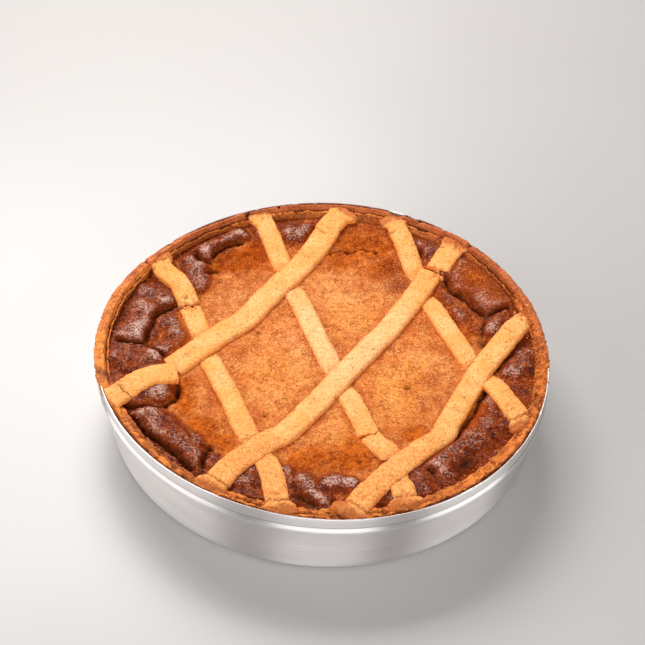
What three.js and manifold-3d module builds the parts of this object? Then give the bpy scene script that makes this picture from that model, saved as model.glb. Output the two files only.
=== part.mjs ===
// A pastiera: a ricotta and wheat pie under a pastry lattice, in its own round aluminium tin.
// Millimetres, +Z up. The origin is the middle of the tin's underside, and +Y is the pie's far side.

import * as THREE from 'three';
import { mergeVertices } from 'three/addons/utils/BufferGeometryUtils.js';
import Module from 'manifold-3d';

const wasm = await Module();
wasm.setup();

// The tin: spun sheet with a rounded bead below a plain band, and a slightly tapered wall.
const RIM_RADIUS = 140;
const TIN_HEIGHT = 50;
const SHEET = 1.2;
const BASE_RADIUS = 134.8;
const BASE_CORNER = 3;
const WALL_TOP_RADIUS = 136;
const BEAD_BOTTOM = 36;
const BEAD_TOP = 41.7;
const BEAD_RADIUS = 140.6;
const GROOVE_RADIUS = 139.2;
const BAND_FOOT_RADIUS = 139.7;
const BAND_FOOT_HEIGHT = 42.7;
const TIN_SEGMENTS = 60;

// The rim has been pushed slightly into three soft corners.
const LOBE_COUNT = 3;
const LOBE_DEPTH = 1.38;
const LOBE_ANGLE = THREE.MathUtils.degToRad(69);

// The pastry case: a cup that lines the tin. Its lip is torn off short of the rim, and on the far
// side a thin outer skin still clings to the tin's wall above the lip.
const CLEARANCE = 0.3;
const CASE_FLOOR = 5;
const LIP_HEIGHT = 47.6;
const SKIN_HEIGHT_FAR = 49.5;
const SKIN_HEIGHT_NEAR = 47.4;
const SKIN_RADIUS = 138;
const SKIN_TOP = 50;
const SKIN_EDGE = 0.8;
const SKIN_FADE = [-0.1, 0.45];
const SEAM_DEPTH = 0.6;
const SEAM_RADIUS = 135.4;
const LIP_RADIUS = 133.4;
const LIP_ROUNDING = 1;
const LIP_EDGE = 1.6;
const CASE_INNER_RADIUS = 130;
const CASE_CORNER = 3;
const CASE_FILLING_LINE = 43;

// The case is thicker on one side, its inner wall is slightly oval, and its lip is wavy.
const THIN_SIDE = { depth: 2.2, angle: THREE.MathUtils.degToRad(150) };
const OVAL = { depth: 1.5, angle: THREE.MathUtils.degToRad(170) };
const LIP_WAVES = [
  { depth: 0.55, count: 7, phase: 1 },
  { depth: 0.4, count: 13, phase: 2.1 },
  { depth: 0.3, count: 22, phase: 0 },
];

// The filling: a sunken middle, and a ring of puffed pillows against the case.
const MIDDLE_HEIGHT = 38.8;
const MIDDLE_RADIUS = 70;
const RING_HEIGHT = 40.6;
const RING_RADIUS = 98;
const EDGE_HEIGHT = 42.5;
const PILLOW_FULLNESS = 0.6;
const TROUGH_SHARPNESS = 2;
const FILLING_OVERSIZE = 5;
const FILLING_RINGS = 14;
const FILLING_SEGMENTS = 64;

// Pillows of risen filling: [x, y, half length, half width, bearing in degrees, crest height].
const PILLOWS = [
  [-121, 20, 33, 15, 80, 47],
  [-118, -18, 15, 13, 110, 46.5],
  [-104, -42, 22, 15, 40, 46.8],
  [-99, 10, 20, 13, 75, 43],
  [-88, -79, 31, 15, -42, 48],
  [-61, -96, 15, 9, 60, 45.8],
  [-42, -110, 17, 11, -15, 46.3],
  [-7, -115, 14, 11, 0, 46],
  [3, -119, 8, 7, 0, 46.8],
  [19, -108, 13, 8, 50, 46.5],
  [44, -113, 9, 7, 60, 45.8],
  [84, -78, 32, 12, 53, 47.3],
  [62, -98, 12, 8, 60, 45],
  [117, -10, 17, 12, 80, 45.8],
  [109, 36, 10, 9, 60, 46],
  [97, 68, 31, 15, -57, 48.5],
  [62, 108, 16, 11, -35, 45],
  [20, 116, 24, 11, 0, 45.5],
  [-26, 114, 15, 12, 20, 46],
  [-76, 97, 27, 10, 38, 47],
  [-92, 66, 20, 12, 60, 46.3],
];

// Troughs where the filling has torn and dropped: the same columns, with a depth last.
const TROUGHS = [
  [-62, 82, 26, 12, 35, 2.6],
  [14, 101, 17, 7, 0, 3],
  [84, 64, 30, 6, -52, 2.4],
  [-75, -66, 20, 7, -42, 2],
  [82, -60, 20, 6, 55, 2],
  [10, -92, 30, 9, 0, 1.6],
];

// The lattice: flat pastry strips with softened edges, pressed into the case at their ends.
const STRIP_THICKNESS = 4.6;
const STRIP_SOFT_EDGE = 1.1;
const STRIP_STEP = 10;
const STRIP_COLUMNS = 3;
const STRIP_END_RADIUS = 136.8;
const FOOT_LENGTH = 16;
const BED_BLEND = 6;
const BED_SAMPLES = 60;

// Each strip has a width, the widening of its two ends, how far it stands proud of the filling,
// and a centreline of [x, y, height of its top]. The first five lie under the other five.
const STRIPS = {
  strip_under_left_back: {
    width: 15,
    flare: [9, 0],
    proud: 1.8,
    line: [[-119, 82, 49], [-107, 63, 48.6], [-96, 52, 47.4], [-89, 38, 44.8]],
  },
  strip_under_left_front: {
    width: 15,
    flare: [0, 7],
    proud: 1.8,
    line: [[-88, 35, 43.2], [-81, 19, 41], [-70, -11, 40.6], [-57, -38, 40.6], [-44, -68, 40.9],
      [-31, -92, 45], [-26, -108, 47.6], [-19, -141, 48.6]],
  },
  strip_under_middle_back: {
    width: 14.5,
    flare: [5, 0],
    proud: 1.8,
    line: [[-52, 132, 48.4], [-43, 112, 46.4], [-33, 88, 41.8], [-15, 41, 40.6], [3, -4, 40.6],
      [16, -33, 40.6], [28, -62, 40.7]],
  },
  strip_under_middle_front: {
    width: 14.5,
    flare: [0, 6],
    proud: 1.8,
    line: [[30, -67, 41.6], [35, -73, 42.7], [42, -83, 44], [48, -107, 47], [54, -134, 48.6]],
  },
  strip_under_right: {
    width: 15,
    flare: [5, 6],
    proud: 1.8,
    line: [[40, 134, 48.4], [48, 112, 46], [57, 85, 41.4], [66, 57, 40.6], [82, 22, 40.8],
      [91, 3, 41.5], [104, -18, 44.2], [115, -42, 47.4], [129, -66, 48.4]],
  },
  strip_over_left_back: {
    width: 17,
    flare: [9, 0],
    proud: 2.8,
    line: [[9, 136, 48.8], [0, 123, 47.8], [-5, 112, 45.6], [-16, 89, 43.2], [-39, 52, 42.4],
      [-53, 28, 42.3], [-69, 11, 42.3], [-93, -18, 42.6]],
  },
  strip_over_left_front: {
    width: 16,
    flare: [0, 3],
    proud: 2,
    line: [[-93, -26, 47.8], [-104, -30, 48.8], [-112, -38, 49], [-119, -46, 48.8], [-134, -59, 48.8]],
  },
  strip_over_middle_back: {
    width: 16,
    flare: [4, 0],
    proud: 2.2,
    line: [[86, 110, 49], [81, 102, 48.6], [76, 92, 47.2], [72, 83, 45.8]],
  },
  strip_over_middle_front: {
    width: 15.5,
    flare: [0, 5],
    proud: 2.8,
    line: [[67, 82, 43.8], [60, 66, 42.8], [43, 33, 42.4], [19, -5, 42.4], [-2, -39, 42.4],
      [-20, -66, 42.3], [-30, -75, 43.4], [-41, -88, 46], [-49, -98, 47.8], [-58, -114, 49],
      [-68, -129, 49]],
  },
  strip_over_right: {
    width: 15,
    flare: [4, 9],
    proud: 2.6,
    line: [[134, 41, 49], [121, 30, 48.6], [111, 14, 47.4], [97, -8, 44.8], [87, -29, 43],
      [77, -51, 42.2], [73, -62, 42.3], [62, -74, 44], [43, -96, 47], [28, -117, 48.8],
      [13, -142, 49]],
  },
};

const METAL = { color: 0xb9b5b0, roughness: 0.35, metalness: 1 };
const CASE_PASTRY = { color: 0xc0763a, roughness: 0.8, metalness: 0 };
const BAKED_FILLING = { color: 0xb4622c, roughness: 0.4, metalness: 0 };
const LATTICE_PASTRY = { color: 0xf0bb78, roughness: 0.7, metalness: 0 };

const { smoothstep, lerp, degToRad } = THREE.MathUtils;

// Solids

function toSolid(geometry) {
  geometry.deleteAttribute('normal');
  geometry.deleteAttribute('uv');
  const welded = mergeVertices(geometry, 1e-4);
  const corners = welded.index.array;
  const triangles = [];
  for (let i = 0; i < corners.length; i += 3) {
    const [a, b, c] = corners.slice(i, i + 3);
    if (a !== b && b !== c && c !== a) triangles.push(a, b, c);
  }
  return new wasm.Manifold(new wasm.Mesh({
    numProp: 3,
    vertProperties: new Float32Array(welded.attributes.position.array),
    triVerts: new Uint32Array(triangles),
  }));
}

function toMesh(name, solid, look) {
  const { vertProperties, triVerts } = solid.getMesh();
  const geometry = new THREE.BufferGeometry();
  geometry.setAttribute('position', new THREE.BufferAttribute(new Float32Array(vertProperties), 3));
  geometry.setIndex(new THREE.BufferAttribute(new Uint32Array(triVerts), 1));
  geometry.computeVertexNormals();
  const mesh = new THREE.Mesh(geometry, new THREE.MeshStandardMaterial(look));
  mesh.name = name;
  return mesh;
}

// A turned shape from a profile of [radius, height] that runs up the outside and down the inside.
// reshape(point, angle) then moves each vertex.
function turned(profile, segments, reshape) {
  const points = profile.map(([radius, height]) => new THREE.Vector2(radius, height));
  const geometry = new THREE.LatheGeometry(points, segments);
  geometry.rotateX(Math.PI / 2);
  const position = geometry.attributes.position;
  const point = new THREE.Vector3();
  for (let i = 0; i < position.count; i += 1) {
    point.fromBufferAttribute(position, i);
    reshape(point, Math.atan2(point.y, point.x));
    position.setXYZ(i, point.x, point.y, point.z);
  }
  return toSolid(geometry);
}

// How far the tin's wall stands out at an angle, growing from nothing at the base to the rim.
function lobe(angle, height) {
  return LOBE_DEPTH * Math.cos(LOBE_COUNT * (angle - LOBE_ANGLE)) * (height / TIN_HEIGHT);
}

function followRim(point, angle) {
  const radius = Math.hypot(point.x, point.y);
  const stretch = 1 + (lobe(angle, point.z) / RIM_RADIUS) * (radius / RIM_RADIUS);
  point.x *= stretch;
  point.y *= stretch;
}

// The tin

function arc(centre, radiusX, radiusY, from, to, steps) {
  return Array.from({ length: steps + 1 }, (_, i) => {
    const angle = degToRad(lerp(from, to, i / steps));
    return [centre[0] + radiusX * Math.cos(angle), centre[1] + radiusY * Math.sin(angle)];
  });
}

// The sheet's other face, at the sheet's thickness to the left of each point of its outer face.
function innerFace(face) {
  return face.map(([radius, height], i) => {
    const before = face[Math.max(i - 1, 0)];
    const after = face[Math.min(i + 1, face.length - 1)];
    const run = Math.hypot(after[0] - before[0], after[1] - before[1]);
    const inward = [-(after[1] - before[1]) / run, (after[0] - before[0]) / run];
    return [Math.max(radius + SHEET * inward[0], 0), height + SHEET * inward[1]];
  });
}

function makeTin() {
  const beadMiddle = (BEAD_BOTTOM + BEAD_TOP) / 2;
  const beadHalf = (BEAD_TOP - BEAD_BOTTOM) / 2;
  const outside = [
    [0, 0],
    ...arc([BASE_RADIUS - BASE_CORNER, BASE_CORNER], BASE_CORNER, BASE_CORNER, -90, 0, 2),
    [WALL_TOP_RADIUS, BEAD_BOTTOM],
    ...arc([BEAD_RADIUS - beadHalf, beadMiddle], beadHalf, beadHalf, -70, 55, 3),
    [GROOVE_RADIUS, BEAD_TOP],
    [BAND_FOOT_RADIUS, BAND_FOOT_HEIGHT],
    [RIM_RADIUS, TIN_HEIGHT],
  ];
  return turned([...outside, ...innerFace(outside).reverse()], TIN_SEGMENTS, followRim);
}

// The pastry case

function caseInnerRadius(angle) {
  const thinning = THIN_SIDE.depth * Math.cos(angle - THIN_SIDE.angle);
  const oval = OVAL.depth * Math.cos(2 * (angle - OVAL.angle));
  return CASE_INNER_RADIUS + thinning + oval;
}

function caseWaviness(angle) {
  let rise = 0;
  for (const { depth, count, phase } of LIP_WAVES) rise += depth * Math.sin(count * angle + phase);
  return rise;
}

// 1 on the pie's far side and 0 on its near side.
function farShare(angle) {
  return smoothstep(Math.sin(angle), ...SKIN_FADE);
}

const CASE_BOTTOM = SHEET + CLEARANCE;
const CASE_INSIDE_BOTTOM = CASE_BOTTOM + CASE_FLOOR;

// The case's inner wall, from the top of the filling down to the axis, set in by a distance.
function caseInside(setIn) {
  return [
    [CASE_INNER_RADIUS - setIn, CASE_FILLING_LINE],
    [CASE_INNER_RADIUS - CASE_CORNER - setIn, CASE_INSIDE_BOTTOM + CASE_CORNER + setIn],
    [CASE_INNER_RADIUS - 2 * CASE_CORNER - setIn, CASE_INSIDE_BOTTOM + setIn],
    [0, CASE_INSIDE_BOTTOM + setIn],
  ];
}

function shapeCase(point, angle) {
  const radius = Math.hypot(point.x, point.y);
  const isInside = radius > 1 && radius < LIP_RADIUS - 1 && point.z >= CASE_INSIDE_BOTTOM;
  const widening = isInside ? caseInnerRadius(angle) - CASE_INNER_RADIUS : 0;
  point.x *= 1 + widening / Math.max(radius, 1);
  point.y *= 1 + widening / Math.max(radius, 1);
  const skinHeight = lerp(SKIN_HEIGHT_NEAR, SKIN_HEIGHT_FAR, farShare(angle));
  if (point.z > LIP_HEIGHT) point.z += skinHeight - SKIN_TOP;
  if (point.z > CASE_FILLING_LINE) point.z += caseWaviness(angle);
  followRim(point, angle);
}

function makeCase() {
  const wallGap = SHEET + CLEARANCE;
  const profile = [
    [0, CASE_BOTTOM],
    [BASE_RADIUS - BASE_CORNER - wallGap, CASE_BOTTOM],
    [BASE_RADIUS - wallGap, CASE_BOTTOM + BASE_CORNER],
    [WALL_TOP_RADIUS - wallGap, BEAD_BOTTOM],
    [SKIN_RADIUS - SKIN_EDGE, BEAD_TOP],
    [SKIN_RADIUS, SKIN_TOP - SKIN_EDGE],
    [SKIN_RADIUS - SKIN_EDGE, SKIN_TOP],
    [SEAM_RADIUS, LIP_HEIGHT - SEAM_DEPTH],
    [LIP_RADIUS, LIP_HEIGHT],
    [CASE_INNER_RADIUS + LIP_EDGE, LIP_HEIGHT - LIP_ROUNDING],
    ...caseInside(0),
  ];
  return turned(profile, TIN_SEGMENTS, shapeCase);
}

// The space that the filling takes up inside the case, left open above.
function makeCaseSpace() {
  const wall = caseInside(CLEARANCE).reverse();
  const above = [CASE_INNER_RADIUS - CLEARANCE, 2 * TIN_HEIGHT];
  return turned([...wall, above, [0, 2 * TIN_HEIGHT]], TIN_SEGMENTS, shapeCase);
}

// The lattice strips

function centreline(strip) {
  const points = strip.line.map((place) => new THREE.Vector3(...place));
  return new THREE.CatmullRomCurve3(points, false, 'centripetal');
}

// A slab bent along the strip's centreline. grow swells it all round.
function makeStrip(strip, grow) {
  const curve = centreline(strip);
  const length = curve.getLength();
  const steps = Math.round(length / STRIP_STEP);
  const slab = new THREE.BoxGeometry(1, STRIP_COLUMNS, 1, steps, STRIP_COLUMNS, 1);
  const position = slab.attributes.position;
  const softShare = STRIP_SOFT_EDGE / strip.width;
  for (let i = 0; i < position.count; i += 1) {
    const along = position.getX(i) + 0.5;
    const side = position.getY(i) / (STRIP_COLUMNS / 2);
    const isTop = position.getZ(i) > 0;
    const middle = curve.getPointAt(along);
    const heading = curve.getTangentAt(along).setZ(0).normalize();
    const fromStart = along * length;
    const foot = strip.flare[0] * (1 - smoothstep(fromStart, 0, FOOT_LENGTH))
      + strip.flare[1] * (1 - smoothstep(length - fromStart, 0, FOOT_LENGTH));
    const atEdge = Math.abs(side) > 0.9;
    const across = atEdge ? side / 2 : Math.sign(side) * (0.5 - softShare);
    const offset = across * (strip.width + foot) + Math.sign(side) * grow;
    const top = atEdge ? grow - STRIP_SOFT_EDGE : grow;
    const push = along === 0 ? -grow : along === 1 ? grow : 0;
    position.setXYZ(
      i,
      middle.x - heading.y * offset + heading.x * push,
      middle.y + heading.x * offset + heading.y * push,
      middle.z + (isTop ? top : -STRIP_THICKNESS - grow),
    );
  }
  return toSolid(slab);
}

// The space inside the case's outer edge, which the strips' ends are cut off by.
function makeEndTrim() {
  const disc = [[0, 0], [STRIP_END_RADIUS, 0], [STRIP_END_RADIUS, TIN_HEIGHT], [0, TIN_HEIGHT]];
  return turned(disc, TIN_SEGMENTS, followRim);
}

// The filling

function domeShare(x, y, [cx, cy, halfLength, halfWidth, bearing]) {
  const angle = degToRad(bearing);
  const along = (x - cx) * Math.cos(angle) + (y - cy) * Math.sin(angle);
  const across = (y - cy) * Math.cos(angle) - (x - cx) * Math.sin(angle);
  return Math.max(0, 1 - (along / halfLength) ** 2 - (across / halfWidth) ** 2);
}

function nearestOnStrip(samples, x, y) {
  let nearest = { distance: Infinity, top: 0 };
  for (const sample of samples) {
    const distance = Math.hypot(x - sample.x, y - sample.y);
    if (distance < nearest.distance) nearest = { distance, top: sample.z };
  }
  return nearest;
}

const stripBeds = Object.values(STRIPS).map((strip) => ({
  proud: strip.proud,
  half: strip.width / 2,
  samples: centreline(strip).getSpacedPoints(BED_SAMPLES),
}));

// The filling's height: pillows over a sunken middle, less the troughs, bedded down under the strips.
function fillingHeight(x, y) {
  const radius = Math.hypot(x, y);
  const ring = smoothstep(radius, MIDDLE_RADIUS, RING_RADIUS);
  let height = lerp(MIDDLE_HEIGHT, RING_HEIGHT, ring);
  for (const pillow of PILLOWS) {
    const share = domeShare(x, y, pillow);
    height = Math.max(height, RING_HEIGHT + (pillow[5] - RING_HEIGHT) * share ** PILLOW_FULLNESS);
  }
  for (const trough of TROUGHS) height -= trough[5] * domeShare(x, y, trough) ** TROUGH_SHARPNESS;
  for (const { proud, half, samples } of stripBeds) {
    const { distance, top } = nearestOnStrip(samples, x, y);
    const bedded = 1 - smoothstep(distance, half, half + BED_BLEND);
    height = lerp(height, top - proud, bedded);
  }
  return height;
}

function makeFilling() {
  const outer = CASE_INNER_RADIUS + FILLING_OVERSIZE;
  const rings = [];
  for (let i = FILLING_RINGS; i >= 0; i -= 1) rings.push([(outer * i) / FILLING_RINGS, TIN_HEIGHT]);
  const block = turned([[0, 0], [outer, 0], ...rings], FILLING_SEGMENTS, (point) => {
    if (point.z < TIN_HEIGHT) return;
    const height = fillingHeight(point.x, point.y);
    const isEdge = Math.hypot(point.x, point.y) > outer - 1;
    point.z = isEdge ? Math.min(height, EDGE_HEIGHT) : height;
  });
  return block.intersect(makeCaseSpace());
}

// The pie put together

const pastiera = new THREE.Group();
let pieCase = makeCase();
let filling = makeFilling();
const endTrim = makeEndTrim();
const laid = [];

for (const [name, strip] of Object.entries(STRIPS)) {
  let pastry = makeStrip(strip, 0).intersect(endTrim);
  for (const below of laid) pastry = pastry.subtract(below);
  const swollen = makeStrip(strip, CLEARANCE);
  filling = filling.subtract(swollen);
  pieCase = pieCase.subtract(swollen);
  laid.push(swollen);
  pastiera.add(toMesh(name, pastry, LATTICE_PASTRY));
}

pastiera.add(toMesh('tin', makeTin(), METAL));
pastiera.add(toMesh('pastry_case', pieCase, CASE_PASTRY));
pastiera.add(toMesh('filling', filling, BAKED_FILLING));

export default pastiera;
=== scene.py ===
import math

import bpy
import numpy as np
from mathutils import Matrix, Vector, noise
from mathutils.bvhtree import BVHTree


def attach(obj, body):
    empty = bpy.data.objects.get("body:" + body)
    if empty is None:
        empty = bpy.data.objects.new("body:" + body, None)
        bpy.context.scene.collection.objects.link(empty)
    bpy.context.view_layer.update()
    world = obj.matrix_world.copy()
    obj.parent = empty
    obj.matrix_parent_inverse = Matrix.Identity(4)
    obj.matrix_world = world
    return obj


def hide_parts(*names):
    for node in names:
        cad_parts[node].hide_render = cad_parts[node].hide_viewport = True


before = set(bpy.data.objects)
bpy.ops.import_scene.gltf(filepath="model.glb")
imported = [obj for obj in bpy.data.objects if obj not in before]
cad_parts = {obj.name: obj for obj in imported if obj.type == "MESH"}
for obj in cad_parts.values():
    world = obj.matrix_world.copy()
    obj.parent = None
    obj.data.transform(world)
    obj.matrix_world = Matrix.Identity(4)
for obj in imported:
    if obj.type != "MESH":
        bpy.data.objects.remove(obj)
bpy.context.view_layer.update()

# The tin: a straight-sided round baking tin, spun from one sheet of bare aluminium.
# A rounded bead runs under a plain band, and the rim is pushed slightly into three soft corners.
MM = 0.001
RIM_RADIUS = 140.0
TIN_HEIGHT = 50.0
BASE_RADIUS = 134.8
BASE_CORNER = 3.0
WALL_TOP_RADIUS = 136.0
BEAD_BOTTOM = 36.0
BEAD_TOP = 41.7
BEAD_RADIUS = 140.6
GROOVE_RADIUS = 139.2
SHEET = 0.9
LOBE_DEPTH = 1.38
LOBE_ANGLE = math.radians(69)
TIN_SIDES = 256
CHIP_BEARING = 71.8
CHIP_HALF_WIDTH = 1.5


def smooth(low, high, value):
    """0 below low, 1 above high and smooth between."""
    share = np.clip((value - low) / (high - low), 0.0, 1.0)
    return share * share * (3.0 - 2.0 * share)


def lobe(angle, height):
    """How far the wall stands out of round at a bearing, growing up to the rim."""
    return LOBE_DEPTH * np.cos(3 * (angle - LOBE_ANGLE)) * height / TIN_HEIGHT


def get_points(piece):
    """A piece's vertices in millimetres."""
    points = np.empty(len(piece.data.vertices) * 3)
    piece.data.vertices.foreach_get("co", points)
    return points.reshape(-1, 3) / MM


def set_points(piece, points):
    piece.data.vertices.foreach_set("co", (points * MM).ravel())
    piece.data.update()


def set_shades(piece, **shades):
    """Stores numbers on the vertices, for the material to read by their names."""
    for name, values in shades.items():
        layer = piece.data.attributes.new(name, "FLOAT", "POINT")
        layer.data.foreach_set("value", np.clip(values, 0.0, 1.0).astype(np.float32))


def weld():
    """Joins the seams and poles of the piece in hand and turns its faces outwards."""
    bpy.ops.object.mode_set(mode="EDIT")
    bpy.ops.mesh.select_all(action="SELECT")
    bpy.ops.mesh.remove_doubles(threshold=0.02 * MM)
    bpy.ops.mesh.normals_make_consistent(inside=False)
    bpy.ops.object.mode_set(mode="OBJECT")


def finish_piece(piece, material, node_names):
    piece.data.materials.clear()
    piece.data.materials.append(material)
    bpy.ops.object.shade_smooth()
    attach(piece, "root")
    if node_names:
        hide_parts(*node_names)


class Signal:
    """A socket of a material's nodes. Arithmetic on it adds Math nodes."""

    def __init__(self, tree, socket):
        self.tree = tree
        self.socket = socket

    def node(self, kind, settings, inputs, output=0):
        made = self.tree.nodes.new(kind)
        for key, value in settings.items():
            setattr(made, key, value)
        feed(made, inputs)
        return Signal(self.tree, made.outputs[output])

    def math(self, operation, first, second):
        return self.node("ShaderNodeMath", {"operation": operation}, {0: first, 1: second})

    def __add__(self, other):
        return self.math("ADD", self, other)

    __radd__ = __add__

    def __sub__(self, other):
        return self.math("SUBTRACT", self, other)

    def __rsub__(self, other):
        return self.math("SUBTRACT", other, self)

    def __mul__(self, other):
        return self.math("MULTIPLY", self, other)

    __rmul__ = __mul__

    def band(self, low, high):
        """0 below low, 1 above high and smooth between."""
        settings = {"interpolation_type": "SMOOTHSTEP"}
        return self.node("ShaderNodeMapRange", settings, {"Value": self, "From Min": low, "From Max": high})

    def blend(self, first, second):
        """A colour between two by this share. Each is a Signal or screen values from 0 to 255."""
        settings = {"data_type": "RGBA", "clamp_factor": True}
        first, second = (c if isinstance(c, Signal) else srgb(*c) for c in (first, second))
        return self.node("ShaderNodeMix", settings, {0: self, 6: first, 7: second}, 2)

    def grain(self, size, detail=2.0, stretch=(1.0, 1.0, 1.0)):
        """Noise over the surface with grains of the given size in millimetres."""
        scaled = self.node("ShaderNodeVectorMath", {"operation": "MULTIPLY"}, {0: self, 1: stretch})
        inputs = {"Vector": scaled, "Scale": 1.0 / (size * MM), "Detail": detail}
        return self.node("ShaderNodeTexNoise", {}, inputs)

    def line(self, width):
        """1 on the thin lines where a noise crosses its middle value, 0 away from them."""
        return 1.0 - self.math("ABSOLUTE", self - 0.5, 0.0).band(0.0, width)

    def shade(self, name):
        """A number stored on the piece's vertices."""
        return self.node("ShaderNodeAttribute", {"attribute_name": name}, {}, 2)

    def bump(self, height, depth):
        """A bump normal of the given depth in millimetres."""
        return self.node("ShaderNodeBump", {}, {"Height": height, "Distance": depth * MM, "Strength": 1.0})


def srgb(red, green, blue):
    """A colour written in 0 to 255 screen values, as the shader's linear one."""
    channels = [c / 255 for c in (red, green, blue)]
    linear = [c / 12.92 if c <= 0.04045 else ((c + 0.055) / 1.055) ** 2.4 for c in channels]
    return (*linear, 1.0)


def coats(colour, layers):
    """A colour painted over with one layer after another: how far each covers, and its colour."""
    for cover, paint in layers:
        colour = cover.blend(colour, paint)
    return colour


def start_material(name):
    """A new material, with its surface node and a Signal of the piece's own coordinates."""
    material = bpy.data.materials.new(name)
    material.use_nodes = True
    tree = material.node_tree
    place = Signal(tree, None).node("ShaderNodeTexCoord", {}, {}, "Object")
    return material, tree.nodes["Principled BSDF"], place


def feed(node, inputs):
    """Sets or links a node's sockets, by their names or numbers."""
    for key, value in inputs.items():
        if isinstance(value, Signal):
            node.id_data.links.new(value.socket, node.inputs[key])
        else:
            node.inputs[key].default_value = value


def arc(centre, radius, start, end, steps):
    for i in range(steps + 1):
        angle = math.radians(start + (end - start) * i / steps)
        yield (centre[0] + radius * math.cos(angle), centre[1] + radius * math.sin(angle))


bead_half = (BEAD_TOP - BEAD_BOTTOM) / 2
bead_middle = (BEAD_TOP + BEAD_BOTTOM) / 2
tin_profile = [
    *arc((BASE_RADIUS - BASE_CORNER, BASE_CORNER), BASE_CORNER, -80, 0, 7),
    (BASE_RADIUS + 0.25, 10.0),
    (BASE_RADIUS + 0.6, 20.0),
    (WALL_TOP_RADIUS - 0.1, BEAD_BOTTOM - 1.2),
    (WALL_TOP_RADIUS + 0.2, BEAD_BOTTOM - 0.3),
    (WALL_TOP_RADIUS + 0.9, BEAD_BOTTOM),
    *arc((BEAD_RADIUS - bead_half, bead_middle), bead_half, -75, 62, 12),
    (GROOVE_RADIUS, BEAD_TOP),
    (GROOVE_RADIUS + 0.1, BEAD_TOP + 0.5),
    (RIM_RADIUS - 0.4, BEAD_TOP + 1.1),
    (RIM_RADIUS - 0.2, BEAD_TOP + 3.5),
    (RIM_RADIUS - 0.1, TIN_HEIGHT - 0.5),
    (RIM_RADIUS - 0.25, TIN_HEIGHT),
]

bpy.ops.object.select_all(action="DESELECT")
bpy.ops.mesh.primitive_circle_add(
    vertices=TIN_SIDES, radius=(BASE_RADIUS - BASE_CORNER) * MM, fill_type="NGON")
tin = bpy.context.object
tin.name = "baking_tin"
bpy.ops.object.mode_set(mode="EDIT")
radius_now, height_now = BASE_RADIUS - BASE_CORNER, 0.0
for radius, height in tin_profile:
    rise = (0.0, 0.0, (height - height_now) * MM)
    bpy.ops.mesh.extrude_edges_move(TRANSFORM_OT_translate={"value": rise})
    spread = radius / radius_now
    bpy.ops.transform.resize(value=(spread, spread, 1.0), center_override=(0.0, 0.0, 0.0))
    radius_now, height_now = radius, height
weld()
wall = tin.modifiers.new("sheet", "SOLIDIFY")
wall.thickness = SHEET * MM
wall.offset = -1.0
bpy.ops.object.modifier_apply(modifier="sheet")

tin_points = get_points(tin)
tin_angle = np.arctan2(tin_points[:, 1], tin_points[:, 0])
tin_radius = np.hypot(tin_points[:, 0], tin_points[:, 1])
stretch = 1 + lobe(tin_angle, tin_points[:, 2]) / RIM_RADIUS * tin_radius / RIM_RADIUS
tin_points[:, :2] *= stretch[:, None]
set_points(tin, tin_points)
tin_z = tin_points[:, 2]
inside_wall = (tin_radius < GROOVE_RADIUS - 0.05) & (tin_z > BEAD_TOP)
far_rim = (tin_z > TIN_HEIGHT - 0.4) & (np.sin(tin_angle) > 0.3)
bare_chip = np.abs(np.degrees(tin_angle) - CHIP_BEARING) < CHIP_HALF_WIDTH
# Painted shade: thin darker grey lines where the bead meets the band above and the wall below.
seam = np.minimum(np.abs(tin_z - BEAD_TOP - 0.2), np.abs(tin_z - BEAD_BOTTOM + 0.2))
set_shades(tin, stain=(inside_wall | far_rim) & ~bare_chip, seam=1 - smooth(0.2, 0.7, seam))

aluminium, metal, place = start_material("spun_aluminium")
brush = place.grain(0.9, 3.0, (0.012, 0.012, 1.0))
clouding = place.grain(40.0)
baked_on = place.shade("stain") * place.grain(9.0, 4.0).band(0.25, 0.5)
colour = coats((brush * 0.6 + clouding * 0.4).blend((208, 203, 201), (252, 248, 246)), [
    # Painted shade along the bead's groove and step.
    (place.shade("seam") * 0.45, (136, 132, 130)),
    (baked_on, (118, 56, 30)),
])
feed(metal, {
    "Base Color": colour, "Metallic": 1.0 - baked_on, "Roughness": 0.3 + 0.16 * brush,
    "Anisotropic": 0.95, "Anisotropic Rotation": 0.25, "Normal": place.bump(brush, 0.05)})
finish_piece(tin, aluminium, ["tin"])

# The pastry case: shortcrust pressed into the tin before filling, browned where it stands free.
# Its lip is torn off unevenly, and on the far side a thin skin still clings to the tin's wall.
CASE_FLOOR = 5.0
CASE_BOTTOM = SHEET + 0.4
CASE_FLOOR_RADIUS = 124.0
FLOOR_CORNER_RADIUS = 127.0
CASE_FOOT_RADIUS = 128.0
CASE_INNER_RADIUS = 130.0
CASE_LOW_RADIUS = 132.8
CASE_WALL_RADIUS = 134.2
CASE_TOP_RADIUS = 138.4
FILLING_LINE = 43.0
FOOT_BEARING = 203.5
CASE_SIDES = 1300

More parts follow.
